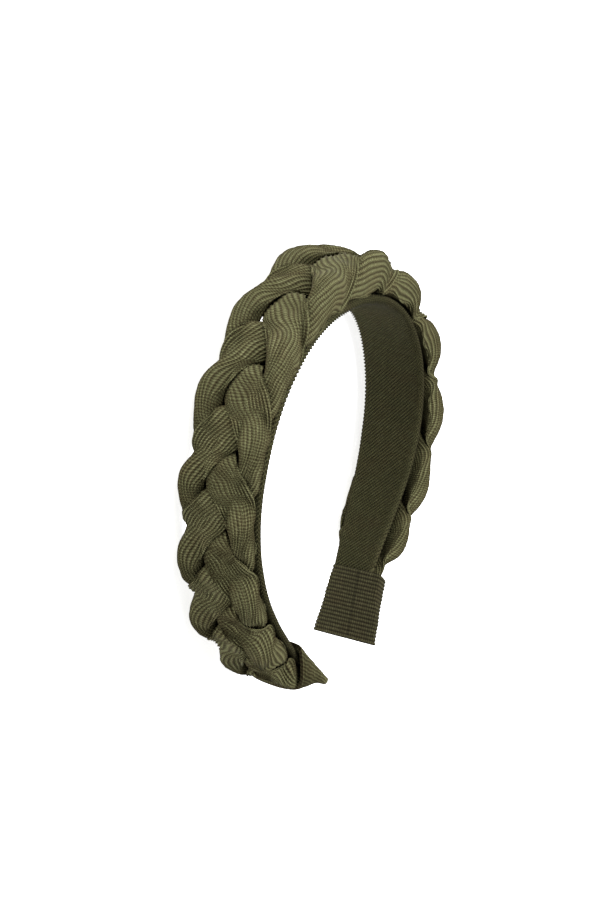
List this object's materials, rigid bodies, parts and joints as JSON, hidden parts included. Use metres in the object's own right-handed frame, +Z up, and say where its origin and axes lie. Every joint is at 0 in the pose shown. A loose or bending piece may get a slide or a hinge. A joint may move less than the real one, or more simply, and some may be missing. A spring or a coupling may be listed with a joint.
{
  "type": "braided headband",
  "caption": "Padded fabric headband: three ribbed strands plaited over a flat curved band, with a tapering ribbed sleeve over each tip.",
  "frame": {"origin": "on the floor under the middle of the overall box, with the headband lying on its rear edge", "axes": "+X from the left tip's side to the right tip's side (ear to ear), +Y towards the crown of the hoop, +Z up, towards the front edge of the band"},
  "size_m": [0.1534, 0.1526, 0.0304],
  "materials": {
    "strand_cloth": "ribbed olive corduroy, wales along the strand",
    "band_cloth": "ribbed olive corduroy, wales slanting across the band",
    "sleeve_cloth": "ribbed olive corduroy, wales across the sleeve"
  },
  "bodies": {
    "root": {"band": "band_cloth", "strand_1": "strand_cloth", "strand_2": "strand_cloth", "strand_3": "strand_cloth", "sleeve_left": "sleeve_cloth", "sleeve_right": "sleeve_cloth"}
  },
  "joints": []
}
